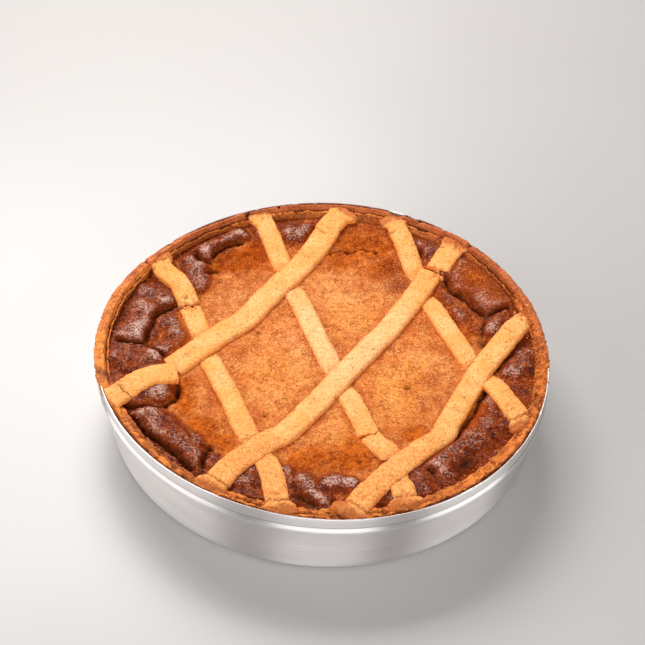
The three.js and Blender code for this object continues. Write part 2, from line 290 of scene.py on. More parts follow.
# The lip's section at bearings around the pie, in degrees: radius and height of its outer edge, radius
# where its flat top ends, radius and height of the groove inside that and of the inner ridge, how crumbly
# it is and how far it has browned.
LIP_SECTIONS = np.array([
    (-15, 139.4, 49.3, 135.6, 134.4, 47.8, 132.8, 47.0, 1.0, 0.9),
    (5, 140.6, 50.5, 136.0, 134.8, 48.2, 133.2, 47.2, 1.0, 0.92),
    (20, 140.9, 50.8, 136.2, 135.0, 47.6, 133.6, 47.4, 1.0, 0.8),
    (30, 140.9, 50.8, 136.6, 135.2, 44.6, 134.0, 47.0, 0.5, 1.0),
    (44, 140.6, 50.5, 136.8, 135.4, 43.2, 134.2, 46.8, 0.35, 1.0),
    (52, 140.2, 50.4, 136.6, 135.0, 44.6, 133.8, 46.8, 0.7, 1.0),
    (62, 138.6, 49.9, 137.2, 136.2, 44.5, 134.2, 46.8, 0.5, 0.8),
    (90, 138.6, 50.1, 137.3, 136.2, 44.0, 134.2, 46.9, 0.6, 0.55),
    (128, 138.8, 50.2, 137.2, 136.2, 44.2, 134.4, 46.8, 0.5, 0.6),
    (140, 139.8, 50.2, 136.5, 135.4, 45.6, 134.2, 47.4, 0.4, 0.6),
    (152, 140.5, 50.6, 135.6, 134.8, 45.4, 133.8, 47.8, 0.3, 0.2),
    (165, 141.1, 50.8, 135.5, 134.7, 45.4, 133.7, 47.7, 0.3, 0.08),
    (180, 141.2, 51.1, 135.4, 134.6, 45.4, 133.6, 47.6, 0.3, 0.03),
    (198, 141.0, 50.6, 135.2, 134.2, 45.8, 133.0, 47.0, 0.4, 0.2),
    (210, 138.5, 48.9, 134.8, 133.2, 47.4, 131.2, 46.2, 0.7, 0.35),
    (238, 138.2, 48.7, 134.6, 133.0, 47.2, 130.8, 46.0, 0.8, 0.4),
    (255, 137.8, 48.3, 135.4, 134.2, 45.6, 132.0, 47.5, 0.8, 0.5),
    (290, 137.8, 48.3, 135.2, 134.0, 46.8, 132.0, 47.2, 0.8, 0.5),
    (325, 138.3, 48.8, 134.4, 133.2, 47.4, 131.4, 46.9, 0.6, 0.5),
])
# Breaks across the lip: bearing, half width in degrees, and how deep the notch is.
LIP_BREAKS = [
    (150.5, 0.5, 2.6), (115, 0.7, 4.0), (105.6, 0.5, 2.0), (CHIP_BEARING, 1.8, 1.6), (64.6, 0.7, 1.2),
    (48, 0.6, 2.5), (28, 0.5, 0.6), (338, 0.5, 1.6), (312, 0.4, 1.2), (236, 0.5, 1.8), (222, 0.4, 1.4),
    (FOOT_BEARING, 4.0, 2.2), (186, 0.4, 0.4), (169, 0.35, 0.4), (242.3, 4.4, 2.4), (262, 4.0, 1.6),
    (276.8, 5.6, 2.2), (292.6, 3.6, 1.8)]
# Scorched patches of the lip: bearing, half width in degrees, and how dark.
SCORCHES = [(195.5, 2.6, 1.0), (214.7, 1.6, 0.9), (222.3, 2.2, 0.6), (237, 2.0, 0.7), (143, 4.0, 0.6),
            (51, 5.0, 0.5), (300, 5.0, 0.35), (33, 10.0, 0.45), (345, 9.0, 0.35), (5, 7.0, 0.4)]


def lumps(points, size, octaves=3, seed=0.0):
    """Seeded fractal noise, about -1 to 1, with lumps of the given size in millimetres."""
    shift = Vector((seed * 17.3, seed * 5.1, seed * 9.7))
    return np.array([noise.fractal(Vector(p) / size + shift, 0.7, 2.1, octaves) for p in points])


def stack(x, y=0.0, z=0.0):
    """Points as rows of x, y and z."""
    return np.column_stack(np.broadcast_arrays(x, y, z))


def hump(away, half_width, power=2):
    """1 where away is 0, falling off smoothly to both sides."""
    return np.exp(-(away / half_width) ** power)


def turned(angle, bearing):
    """Degrees from a bearing, the short way round."""
    return (np.degrees(angle) - bearing + 180) % 360 - 180


def case_inner_radius(angle):
    """Where the case meets the filling: out of round, and thinnest at the right and the back."""
    return (CASE_INNER_RADIUS + 2.2 * np.cos(angle - math.radians(150))
            + 1.5 * np.cos(2 * (angle - math.radians(170)))
            + 3.4 * hump(turned(angle, 22), 34) + 1.8 * hump(turned(angle, 100), 36))


def far_share(angle):
    return smooth(-0.1, 0.45, np.sin(angle))


def lip_values(angle):
    """Each column of the lip's sections after the first, at a bearing."""
    bearings, *columns = LIP_SECTIONS.T
    return [np.interp(np.degrees(angle), bearings, column, period=360) for column in columns]


def lip_corners(angle):
    """The section's corners at a bearing, from the axis under the floor, over the lip and back."""
    (outer_radius, outer_height, flat_radius, groove_radius, groove_height,
     ridge_radius, ridge_height, _, _) = lip_values(angle)
    outer_height = outer_height - sum(
        depth * hump(turned(angle, bearing), half, 4) for bearing, half, depth in LIP_BREAKS)
    ring = stack(RIM_RADIUS * np.cos(angle), RIM_RADIUS * np.sin(angle))
    ragged = lumps(ring, 10.0, 3, 14.0) * (0.35 + 0.65 * far_share(angle))
    ridge_height = ridge_height + 1.2 * ragged
    ridge_radius = ridge_radius + 0.7 * ragged
    inner = case_inner_radius(angle)
    wall_radius = np.minimum(outer_radius, CASE_TOP_RADIUS)
    floor_top = CASE_BOTTOM + CASE_FLOOR
    corners = [
        (0.0, CASE_BOTTOM), (CASE_FOOT_RADIUS, CASE_BOTTOM),
        (CASE_LOW_RADIUS, CASE_BOTTOM + 4), (CASE_WALL_RADIUS, BEAD_BOTTOM),
        (wall_radius - 0.9, BEAD_TOP), (wall_radius, np.minimum(outer_height - 1.1, TIN_HEIGHT - 0.2)),
        (outer_radius, outer_height - 0.7), (outer_radius - 0.7, outer_height),
        (np.minimum(flat_radius, outer_radius - 0.9), outer_height - 0.2), (groove_radius, groove_height),
        (ridge_radius + 0.6, ridge_height - 0.3), (ridge_radius - 0.5, ridge_height),
        (inner + 0.3, FILLING_LINE + 1.5), (inner, FILLING_LINE - 3), (FLOOR_CORNER_RADIUS, floor_top + 3),
        (CASE_FLOOR_RADIUS, floor_top), (0.0, floor_top)]
    return np.array([np.broadcast_arrays(*corner, angle)[:2] for corner in corners])


def add_grid(name, columns, rows):
    """A square grid to fold into a piece, and where each vertex lies on it, from -1 to 1."""
    bpy.ops.object.select_all(action="DESELECT")
    bpy.ops.mesh.primitive_grid_add(x_subdivisions=columns, y_subdivisions=rows, size=2.0)
    piece = bpy.context.object
    piece.name = name
    return piece, get_points(piece) * MM


# Rows of vertices between one corner of the section and the next.
SECTION_ROWS = [1, 1, 1, 1, 3, 1, 2, 7, 6, 5, 3, 6, 3, 1, 1, 1]
row_corner = np.concatenate([np.repeat(np.arange(len(SECTION_ROWS)), SECTION_ROWS), [len(SECTION_ROWS) - 1]])
row_share = np.concatenate([*(np.arange(rows) / rows for rows in SECTION_ROWS), [1.0]])

case, flat = add_grid("pastry_case_crust", CASE_SIDES, len(row_corner) - 1)
angle = (flat[:, 0] + 1) * math.pi
row = np.rint((flat[:, 1] + 1) / 2 * (len(row_corner) - 1)).astype(int)
corners = lip_corners(angle)
column = np.arange(len(angle))
radius, height = (
    corners[row_corner[row], axis, column] * (1 - row_share[row])
    + corners[row_corner[row] + 1, axis, column] * row_share[row] for axis in (0, 1))
exposed = smooth(42.5, 44.5, height)
around = stack(RIM_RADIUS * np.cos(angle), RIM_RADIUS * np.sin(angle))
wave = 0.5 * np.sin(7 * angle + 1) + 0.35 * np.sin(13 * angle + 2.1) + 0.25 * np.sin(22 * angle)
height = height + exposed * (wave * 0.6 + 0.5 * lumps(around, 9.0, 3, 3.0))
points = stack(radius * np.cos(angle), radius * np.sin(angle), height)
lip_radius, _, flat_edge, _, _, ridge_radius, ridge_height, crumbliness, baked = lip_values(angle)
smooth_skin = smooth(135.6, 136.6, radius) * far_share(angle)
granular = exposed * (1 - 0.85 * smooth_skin) * crumbliness
clods = lumps(points, 5.5, 3, 5.0)
crumbly = lumps(points, 1.9, 2, 6.0)
points[:, 2] += granular * (1.2 * clods + 0.4 * crumbly) + 0.2 * exposed * clods
swell = 0.9 * lumps(points, 3.6, 3, 4.0) + 0.3 * crumbly
points[:, :2] *= (1 + (granular + 0.3 * exposed) * swell / RIM_RADIUS)[:, None]
radius_in = np.hypot(points[:, 0], points[:, 1])
stretch = 1 + lobe(angle, points[:, 2]) / RIM_RADIUS * radius_in / RIM_RADIUS
points[:, :2] *= stretch[:, None]
set_points(case, points)
scorched = sum(dark * hump(turned(angle, bearing), half) for bearing, half, dark in SCORCHES)
# Painted shade: the crust is darkened below the inner ridge, in the gaps between clods and on the ridge's
# inner slope.
below_ridge = smooth(0.1, 1.8, ridge_height - points[:, 2])
below_ridge *= 1 - 0.6 * far_share(angle) * (radius < ridge_radius + 0.3)
# Painted highlight: the tops of the clods, the brow of the flat top and the inner ridge are lightened in
# colour.
brow = hump(radius - flat_edge - 0.9, 1.4) + hump(radius - ridge_radius, 0.7)
grainy = granular * smooth(-0.1, 0.7, clods + 0.5 * crumbly)
gaps = granular * smooth(0.1, 0.7, -clods - 0.4 * crumbly)
slab_slope = smooth(0.3, 1.5, flat_edge - radius) * hump(turned(angle, 224), 15, 4)
inner_slope = smooth(0.3, 1.4, ridge_radius - radius) * (0.4 + 0.6 * far_share(angle))
hollow = np.maximum(exposed * below_ridge * smooth(130.5, 133.0, radius), gaps)
# At the front the lip's outer edge is darkened: partly browned crust, partly painted shadow in the gap at
# the tin's rim.
front = 1 - smooth(-0.45, -0.25, np.sin(angle))
burnt_edge = front * smooth(1.9, 1.1, lip_radius - radius + 0.4 * clods)
hollow = np.maximum(hollow, 0.9 * exposed * burnt_edge)
scorched = scorched * smooth(-0.5, 0.4, lumps(points, 5.0, 3, 8.0) + 0.2)
set_shades(
    case,
    skin=smooth_skin,
    hollow=np.maximum(hollow, 0.45 * exposed * inner_slope),
    crest=np.maximum(grainy, 0.85 * exposed * brow * smooth(-0.6, 0.3, clods)),
    scorch=np.maximum(scorched, 0.75 * slab_slope),
    bake=baked + 0.35 * lumps(points, 12.0, 3, 9.0))
weld()

crust, shell, place = start_material("browned_crust")
sand = place.grain(0.9, 3.0)
patches = place.grain(9.0, 3.0)
burnt = place.grain(2.0).band(0.6, 0.68)
cracks = place.grain(4.0).line(0.055) * place.grain(8.0).band(0.44, 0.56)
bake = place.shade("bake")
clinging = (patches * 0.4 + sand * 0.6).band(0.36, 0.64).blend((172, 80, 42), (250, 150, 90))
clinging = (bake * 0.55).blend(clinging, sand.blend((126, 50, 18), (192, 98, 52)))
colour = coats(bake.blend((255, 158, 78), (180, 72, 6)), [
    (patches.band(0.4, 0.7) * 0.4, (200, 90, 24)),
    # Painted highlight on the clod tops, brow and ridge.
    (place.shade("crest") * (0.95 - 0.15 * bake), (255, 146, 54)),
    (sand.band(0.5, 0.68) * (0.3 + 0.2 * bake), (255, 178, 108)),
    ((1.0 - sand).band(0.5, 0.66) * (0.25 + 0.3 * bake), (140, 54, 6)),
    (burnt * (0.12 + 0.3 * bake), (112, 42, 10)),
    (cracks * 0.5, (98, 34, 6)),
    (place.shade("scorch") * (0.5 + 0.6 * sand), (126, 62, 44)),
    (place.shade("skin") * 0.92, clinging),
    # Painted shade in the crust's hollows, gaps and below the ridge.
    (place.shade("hollow") * 0.85, sand.blend((74, 22, 2), (130, 52, 14))),
])
feed(shell, {
    "Base Color": colour, "Specular IOR Level": 0.15, "Roughness": 0.5 + 0.2 * sand,
    "Normal": place.bump(sand - burnt * 0.6 - cracks * 0.8, 0.6)})
finish_piece(case, crust, ["pastry_case"])

# The filling: ricotta, wheat and egg, baked until it puffed and then sank in the middle.
# Its skin is dark and wrinkled on the risen pillows, and orange where it stretched or tore.
MIDDLE_HEIGHT = 39.0
RING_HEIGHT = 40.6
MIDDLE_RADIUS = 70
RING_RADIUS = 98
EDGE_RISE = 2.2
PILLOW_FOOT = 37.5
PILLOW_FULLNESS = 1.5
PIT_DEPTH = 1.4
BROWN_FROM = 40.6
BROWN_FULL = 44.6
NEAR_CELLS = 9
WIDE_CELLS = 20
FILLING_CELLS = 304
FILLING_FLOOR = CASE_BOTTOM + CASE_FLOOR + 0.3
FILLING_FLOOR_RADIUS = 123.0

# Pillows of risen filling: the line of the crest, half the width, height of the crest.
PILLOWS = [
    ([(-117, 46), (-104, 39)], 11, 46.5),
    ([(-118, 30), (-118, 19), (-122, 2)], 14, 47.3),
    ([(-99, 18), (-94, 3), (-97, -8)], 11, 43.6),
    ([(-127, -12), (-115, -17), (-106, -13)], 12, 46.5),
    ([(-112, -50), (-105, -46), (-100, -41)], 10, 46.8),
    ([(-104, -65), (-94, -74), (-80, -86), (-70, -96)], 12, 48.3),
    ([(-62, -96), (-61, -102)], 7.5, 46),
    ([(-47, -108), (-39, -110), (-38, -102)], 9, 46.5),
    ([(-45, -119), (-35, -121)], 7, 46),
    ([(-19, -100), (-16, -113), (-13, -122)], 6, 46),
    ([(-9, -107), (-4, -115), (3, -122)], 8, 47),
    ([(6, -108), (10, -105), (19, -108)], 7, 46.5),
    ([(44, -118), (45, -110)], 7, 45.8),
    ([(102, -57), (92, -68), (80, -80), (72, -91)], 11, 47.5),
    ([(99, -36), (107, -47), (109, -54)], 9, 45.5),
    ([(57, -97), (60, -108)], 8, 46),
    ([(65, -85), (61, -90)], 6, 44),
    ([(128, 6), (119, -7)], 10, 46),
    ([(85, 86), (95, 75), (102, 65), (107, 53)], 13, 48.5),
    ([(111, 39), (107, 30)], 8, 46),
    ([(74, 62), (84, 48), (95, 29)], 9, 42.5),
    ([(59, 108), (65, 104), (70, 107)], 9, 45.5),
    ([(9, 122), (20, 119), (33, 120)], 11, 43.8),
    ([(-30, 114), (-23, 111), (-16, 117)], 10, 46),
    ([(-85, 89), (-76, 97), (-68, 104), (-62, 108)], 8, 46.7),
    ([(-91, 79), (-88, 71), (-87, 59)], 9, 46),
]
# Creases and cracks, painted dark as shade: their line, the height of their bottom, and their half width.
CREASES = [
    ([(-96, 36), (-104, 31), (-109, 24), (-110, 16), (-112, 9), (-111, 2)], 39.5, 1.6),
    ([(-129, -1), (-122, -2), (-117, -1), (-111, 0)], 41, 1.4),
    ([(-111, 0), (-104, -7), (-98, -12)], 41, 1.4),
    ([(-89, -28), (-87, -44), (-93, -50)], 38.2, 1.5),
    ([(-65, -84), (-65, -85)], 39, 3.0),
    ([(-66, -89), (-67, -96), (-67, -102)], 42.5, 1.6),
    ([(-116, -61), (-103, -76), (-91, -86), (-82, -94), (-74, -103)], 41.5, 2.2),
    ([(-119, -55), (-112, -57), (-104, -56), (-98, -55), (-93, -51)], 42.5, 1.6),
    ([(-90, 87), (-86, 81), (-80, 81)], 39.5, 1.6),
    ([(-78, 87), (-70, 97), (-60, 101)], 38.4, 2.0),
    ([(-80, 70), (-72, 74)], 37.8, 2.0),
    ([(60, 103), (62, 93)], 40.5, 1.6),
    ([(76, 76), (80, 65), (87, 61), (93, 52), (101, 43)], 38.4, 1.8),
    ([(102, 40), (112, 48), (116, 49)], 43, 1.6),
    ([(101, 36), (100, 24)], 41.2, 1.4),
    ([(101, 18), (101, 17)], 38.5, 3.0),
    ([(121, 24), (114, 8), (106, -6)], 40.5, 2.6),
    ([(64, -93), (67, -95)], 42.5, 1.4),
    ([(88, -84), (83, -89)], 44.0, 3.2),
    ([(-10, -119), (-1, -124)], 42.5, 2.0),
    ([(105, -13), (96, -33), (86, -55), (80, -66)], 38.6, 1.8),
    ([(0, 97), (6, 102), (14, 100), (22, 104), (31, 101)], 39.8, 0.55),
]
# Torn lips of skin beside the basins: their line, the height of their top, and their half width.
TORN_LIPS = [
    ([(-76, 88), (-68, 92), (-60, 96), (-46, 90)], 40.6, 2.4),
    ([(-81, 68), (-70, 67), (-61, 70), (-56, 75), (-47, 79), (-38, 84)], 41.0, 3.0),
    ([(2, 95), (12, 94), (21, 96), (30, 96)], 41.2, 2.4),
    ([(-93, -49), (-86, -52), (-82, -58)], 41.6, 2.0),
]
# Basins of the sunken ring: their line, the height of their bottom, their half width, and how much painted
# shade darkens them.
BASINS = [
    ([(-68, 82), (-60, 85), (-48, 93)], 37.2, 9.0, 0.8),
    ([(-75, -62), (-62, -78)], 39.4, 6.0, 0.0),
    ([(0, -84), (20, -84)], 39.6, 8.0, 0.2),
]
# Golden patches of the middle and of the right back pillow, where the skin is thin: x, y, radius.
GOLD_PATCHES = [(94, 80, 12), (103, 68, 13), (109, 53, 11), (-31, -17, 13), (14, 44, 13), (26, 36, 10),
                (44, -26, 15), (55, -8, 12), (52, -42, 12), (14, -80, 14), (-54, 75, 4), (-80, -50, 7)]
# Pale matte places, where the skin dried first: x, y, radius.
PALE_PATCHES = [(-62, 48, 17), (12, 60, 19), (-14, 14, 15), (34, 24, 12), (60, 6, 9)]
# Brown places, mostly along the strips, partly browned skin and partly painted shade beside them: x, y,
# radius.
BROWN_PATCHES = [(-38, 88, 9), (-72, 72, 10), (-66, -12, 8), (-62, -44, 9), (-48, -74, 9), (-24, -84, 9),
                 (27, 66, 7), (44, 82, 12), (50, 66, 8), (68, -18, 9), (67, -38, 10), (62, -55, 8),
                 (30, -77, 7), (45, -68, 6), (64, 36, 7), (-10, -62, 9), (-52, 2, 8), (76, 14, 8),
                 (18, 87, 12), (35, 79, 13), (47, 67, 10)]
# Deep orange places where syrup boiled out and set glossy: x, y, radius.
SYRUP_PATCHES = [(-66, 84, 14), (-52, 90, 14), (-74, 76, 9), (6, 92, 11), (14, 105, 15), (30, 104, 14),
                 (38, 86, 11), (18, -82, 18), (-8, -88, 14), (38, -84, 9), (56, -62, 9), (-70, -66, 11),
                 (-58, -78, 10), (-82, -52, 8), (-87, -38, 8), (93, 30, 8), (-98, 12, 7), (70, 66, 7),
                 (92, -46, 9)]
# Places where the skin stayed orange though it rose or hangs from a strip: x, y, radius, how far.
UNBROWNED = [(-86, -33, 8, 0.85), (-84, -42, 7, 0.85), (94, -40, 9, 0.85), (88, -54, 8, 0.85),
             (78, -68, 6, 0.85), (24, 108, 26, 0.85), (98, 75, 15, 0.8), (106, 56, 8, 0.5)]
# Low places that browned like the pillows: x, y, radius, how far.
BROWNED = [(79, 58, 9, 0.8), (88, 43, 9, 0.8), (71, 70, 6, 0.8), (97, 30, 6, 0.8), (41, 86, 12, 0.44),
           (46, 70, 10, 0.42), (12, 109, 9, 0.24), (31, 108, 10, 0.24), (4, 90, 7, 0.3), (-10, -96, 7, 0.4)]
# Rough, lumpy places where the skin boiled and wrinkled: x, y, radius.
RUMPLED = [(10, 104, 16), (28, 106, 16), (42, 88, 12), (-60, 84, 16), (80, 56, 12), (92, 34, 9),
           (-86, -44, 9), (-66, -70, 12), (8, -92, 14), (30, -86, 12)]
# Small pits, painted dark as shade: x, y, radius.
PITS = [(51, -23, 1.4), (53, -22.4, 1.4), (-34, -53, 1.3), (-43, 19, 1.3), (28, -43, 0.9)]

# The lattice that lies on the filling. Each row: width, widening of the two ends, height that it stands
# proud of the filling, toasted length of the two ends, which tear each end has, the centreline, and the
# cracks across it, each with its x, y, depth and half width.
LATTICE = {
    "strip_under_left_back": (14, (4, 0), 1.8, (7, 0), (0, 1), [
        (-113.5, 77, 49.4), (-107, 63, 48.6), (-96, 52, 47.4), (-88.7, 37.2, 44.6)],
        [(-110, 67, 1.6, 0.6)]),
    "strip_under_left_front": (14, (0, 7), 1.8, (0, 7), (1, 0), [
        (-87.8, 34.8, 43.0), (-81, 19, 41), (-70, -11, 40.6), (-57, -38, 40.6), (-44, -68, 40.9),
        (-31, -92, 45), (-26, -108, 47.6), (-20.5, -134.5, 49.2)],
        [(-23, -122, 0.8, 0.5)]),
    "strip_under_middle_back": (14, (3, 0), 1.8, (6, 0), (0, 2), [
        (-50.5, 128, 49), (-43, 112, 46.4), (-33, 88, 41.8), (-15, 41, 40.6), (3, -4, 40.6),
        (16, -33, 40.6), (28.9, -64, 40.9)],
        [(-46, 118, 0.9, 0.5)]),
    "strip_under_middle_front": (14, (0, 9), 1.8, (0, 10), (2, 0), [
        (29.9, -66.0, 41.3), (35, -73, 42.5), (42, -83, 44), (48, -107, 47), (52, -125.5, 49)],
        [(50, -115, 0.9, 0.5)]),
    "strip_under_right": (14, (5, 6), 1.8, (6, 8), (3, 0), [
        (41, 131, 48.8), (48, 112, 46), (57, 85, 41.4), (66, 57, 40.6), (82, 22, 40.8),
        (91, 3, 41.5), (104, -18, 44.2), (115, -42, 47.4), (122.5, -57.5, 49)],
        [(113, -38, 0.8, 0.5), (46, 117, 1.0, 0.5)]),
    "strip_over_left_back": (17, (6, 0), 2.8, (6, 0), (4, 0), [
        (9, 136, 48.8), (0, 123, 47.8), (-5, 112, 45.6), (-16, 89, 43.2), (-39, 52, 42.4),
        (-53, 28, 42.3), (-69, 11, 42.3), (-93.6, -18.6, 42.6)],
        [(-32, 74, 0.6, 0.4), (-18, 92, 0.7, 0.45), (-5, 114, 0.9, 0.5)]),
    "strip_over_left_front": (16.5, (0, 3), 2.0, (0, 4), (0, 0), [
        (-90.5, -27.5, 47.8), (-103, -32, 48.8), (-112, -38, 49), (-119, -46, 49), (-125, -52, 49.8),
        (-130, -56.5, 50.2)],
        [(-121, -45, 1.4, 0.55)]),
    "strip_over_middle_back": (16, (4, 0), 2.2, (12, 0), (0, 5), [
        (86, 110, 49), (81, 102, 48.6), (76, 92, 47.2), (72, 83, 45.8)],
        [(80, 100, 1.4, 0.6)]),
    "strip_over_middle_front": (15.5, (0, 6.5), 2.8, (0, 7), (6, 0), [
        (67, 82, 43.8), (60, 66, 42.8), (43, 33, 42.4), (19, -5, 42.4), (-2, -39, 42.4),
        (-20, -66, 42.3), (-30, -75, 43.4), (-41, -88, 46), (-49, -98, 47.8), (-56, -110, 49),
        (-62.5, -120.5, 49.6)],
        [(27, 6, 0.5, 0.4), (-4, -41, 0.6, 0.4), (-60, -117, 0.8, 0.5)]),
    "strip_over_right": (15, (6, 10), 2.6, (12, 11), (7, 0), [
        (134, 41, 49), (121, 30, 48.6), (111, 14, 47.4), (97, -8, 44.8), (87, -29, 43),
        (77, -51, 42.2), (73, -62, 42.3), (62, -74, 44), (43, -96, 47), (28, -117, 48.8),
        (18, -134, 49.6)],
        [(82, -42, 0.5, 0.4), (116, 25, 0.9, 0.5), (66, -70, 0.6, 0.4)]),
}


def line_distance(x, y, line):
    """Distance from each place to a line of points."""
    best = np.full(len(x), 1e9)
    for (ax, ay), (bx, by) in zip(line, line[1:]):
        run_x, run_y = bx - ax, by - ay
        share = np.clip(((x - ax) * run_x + (y - ay) * run_y) / (run_x ** 2 + run_y ** 2), 0, 1)
        best = np.minimum(best, np.hypot(x - ax - share * run_x, y - ay - share * run_y))
    return best


def patches_at(x, y, patches):
    """How far each place lies within any round patch, up to 1 or to the patch's own limit."""
    share = np.zeros(len(x))
    for patch_x, patch_y, patch_radius, *limit in patches:
        within = hump(np.hypot(x - patch_x, y - patch_y), patch_radius)
        share = np.maximum(share, within * (limit or [1.0])[0])
    return share


def soft_top(first, second, softness):
    """The higher of two surfaces, with the corner between them filled softly."""
    return np.logaddexp(first / softness, second / softness) * softness


def centreline(line, step):
    """Evenly spaced points on a smooth curve through a strip's centreline."""
    knots = np.array(line, float)
    padded = np.vstack([2 * knots[0] - knots[1], knots, 2 * knots[-1] - knots[-2]])
    dense = []
    for before, start, end, after in zip(padded, padded[1:], padded[2:], padded[3:]):
        t = np.linspace(0.0, 1.0, 40, endpoint=False)[:, None]
        dense.append(0.5 * (2 * start + (end - before) * t
                            + (2 * before - 5 * start + 4 * end - after) * t ** 2
                            + (3 * start - before - 3 * end + after) * t ** 3))
    dense = np.vstack([*dense, knots[-1:]])
    run = np.concatenate([[0.0], np.cumsum(np.linalg.norm(np.diff(dense, axis=0), axis=1))])
    count = max(int(round(run[-1] / step)), 2)
    even = np.linspace(0.0, run[-1], count + 1)
    return np.column_stack([np.interp(even, run, dense[:, axis]) for axis in range(3)]), even


def nearest_on_strip(line, x, y):
    """Distance to a strip's centreline, the height of its top there, and the distance past its ends."""
    path = centreline(line, 3.0)[0]
    best = np.full(len(x), 1e9)
    top = np.zeros(len(x))
    for sx, sy, sz in path:
        distance = np.hypot(x - sx, y - sy)
        closer = distance < best
        best[closer] = distance[closer]
        top[closer] = sz
    past = np.full(len(x), -1e9)
    for tip, inner in ((path[0], path[1]), (path[-1], path[-2])):
        out_x, out_y = (tip - inner)[:2] / np.hypot(*(tip - inner)[:2])
        past = np.maximum(past, (x - tip[0]) * out_x + (y - tip[1]) * out_y)
    return best, top, past


def averaged(values, reach):
    """A field on the filling's square grid, averaged over the given reach in cells."""
    side = FILLING_CELLS + 1
    window = np.hanning(2 * reach + 3)[1:-1]
    window /= window.sum()
    field = values.reshape(side, side)
    for _ in range(2):
        rows = [np.convolve(np.pad(line, reach, mode="edge"), window, "valid") for line in field]
        field = np.array(rows).T
    return field.ravel()


filling, flat = add_grid("baked_filling", FILLING_CELLS, FILLING_CELLS)
u = flat[:, 0] * np.sqrt(1 - flat[:, 1] ** 2 / 2)
v = flat[:, 1] * np.sqrt(1 - flat[:, 0] ** 2 / 2)
angle = np.arctan2(v, u)
edge = case_inner_radius(angle) + 0.5 + lobe(angle, FILLING_LINE) * 0.85
x = u * edge
y = v * edge
reach = np.hypot(u, v)
radius = np.hypot(x, y)
ground = stack(x, y)
warped = (x + 1.6 * lumps(ground, 14.0, 4, 1.0), y + 1.6 * lumps(ground, 14.0, 4, 2.0))
sag = lumps(ground, 14.0, 3, 6.0)
jag = lumps(ground, 3.2, 3, 10.0)
mottle = lumps(ground, 9.0, 4, 11.0)

z = MIDDLE_HEIGHT + (RING_HEIGHT - MIDDLE_HEIGHT) * smooth(MIDDLE_RADIUS, RING_RADIUS, radius)
z = z + 0.5 * lumps(ground, 24.0, 3, 7.0)
z += EDGE_RISE * smooth(106, 120, radius)
basin = deep = beside = cut = np.zeros(len(x))
for basin_line, bottom, half_width, darkness in BASINS:
    share = hump(np.maximum(line_distance(*warped, basin_line) + 0.9 * jag, 0.0), half_width, 4)
    z += (bottom + 0.5 * jag - z) * share
    basin = np.maximum(basin, share)
    deep = np.maximum(deep, darkness * share)
for lip_line, top, half_width in TORN_LIPS:
    away = line_distance(*warped, lip_line) / half_width
    z = soft_top(z, top + 0.7 * jag - 1.4 * away ** 2, 0.25)
for crest_line, half_width, crest in PILLOWS:
    away = line_distance(*warped, crest_line) / (half_width * PILLOW_FULLNESS)
    z = soft_top(z, PILLOW_FOOT + (crest + 0.6 * sag - PILLOW_FOOT) * np.exp(-1.25 * away ** 2.2), 0.45)
z += (np.minimum(z, FILLING_LINE + 2.6) - z) * smooth(0.965, 1.0, reach)
for width, _, proud, _, _, line, _ in LATTICE.values():
    distance, top, past = nearest_on_strip(line, x, y)
    under = (1 - smooth(width / 2 - 1.5, width / 2 + 4.0, distance)) * (1 - smooth(-4.0, 4.0, past))
    z += (top - proud - z) * under
    # Painted shade on the filling beside the strips' edges.
    beside = np.maximum(beside, 1 - smooth(width / 2, width / 2 + 9.0, distance + 2 * mottle))
# Painted shade: each crease also marks cut, which darkens it nearly to black.
for crease_line, bottom, half_width in CREASES:
    share = hump(np.maximum(line_distance(*warped, crease_line) + 0.5 * jag, 0.0), half_width, 1.5)
    z -= np.maximum(z - bottom, 0) * share
    cut = np.maximum(cut, share)
pitted = patches_at(x, y, PITS)
z -= PIT_DEPTH * pitted
unbrowned = patches_at(*warped, UNBROWNED)
risen = smooth(BROWN_FROM, BROWN_FULL, z + mottle) * smooth(78, 94, radius + 4 * mottle) * (1 - unbrowned)
# Height of the filling above its nearby and wider surroundings; on the risen pillows it also sets where
# painted sheen lightens the crests.
crown = z - averaged(z, NEAR_CELLS)
back = z - averaged(z, WIDE_CELLS)
rumpled = patches_at(*warped, RUMPLED)
rumple = lumps(ground, 7.5, 3, 12.0)
z += rumpled * (1.5 * rumple + 0.6 * jag)
# Painted shade in the valleys of the rumpled places.
deep = np.maximum(deep, 0.8 * rumpled * smooth(0.0, 0.5, -rumple))
z += (0.12 + 0.3 * risen) * lumps(ground, 4.5, 3, 8.0) + (0.07 + 0.2 * risen) * lumps(ground, 2.2, 2, 9.0)
set_points(filling, stack(x, y, z))
normals = np.empty(len(x) * 3)
filling.data.vertices.foreach_get("normal", normals)
slope = averaged(1 - np.abs(normals.reshape(-1, 3)[:, 2]), 2)
syrup = np.maximum(patches_at(*warped, SYRUP_PATCHES), basin)
browning = risen * (1 - 0.35 * smooth(0.4, 1.4, -crown))
# Painted highlight: the tops of the rumpled lumps are lit golden.
gilded = 0.8 * rumpled * smooth(0.15, 0.6, rumple)
mottled = np.maximum(patches_at(*warped, BROWN_PATCHES), 0.7 * smooth(60, 88, radius + 8 * mottle))
set_shades(
    filling,
    browning=np.maximum(browning, patches_at(warped[0] + 2 * jag, warped[1], BROWNED)),
    stretched=smooth(0.06, 0.24, slope + 0.02 * mottle) * smooth(MIDDLE_RADIUS, 88, radius),
    cut=np.maximum(0.9 * cut, 0.75 * pitted),
    deep=deep,
    gold=np.maximum(patches_at(*warped, GOLD_PATCHES), gilded),
    beside=np.maximum(0.65 * beside, mottled),
    pale=patches_at(*warped, PALE_PATCHES),
    syrup=smooth(0.1, 0.95, np.maximum(syrup, unbrowned) + 0.3 * mottle),
    crown=smooth(0.0, 2.8, back + 0.9 * mottle + 0.3 * crown) * risen)

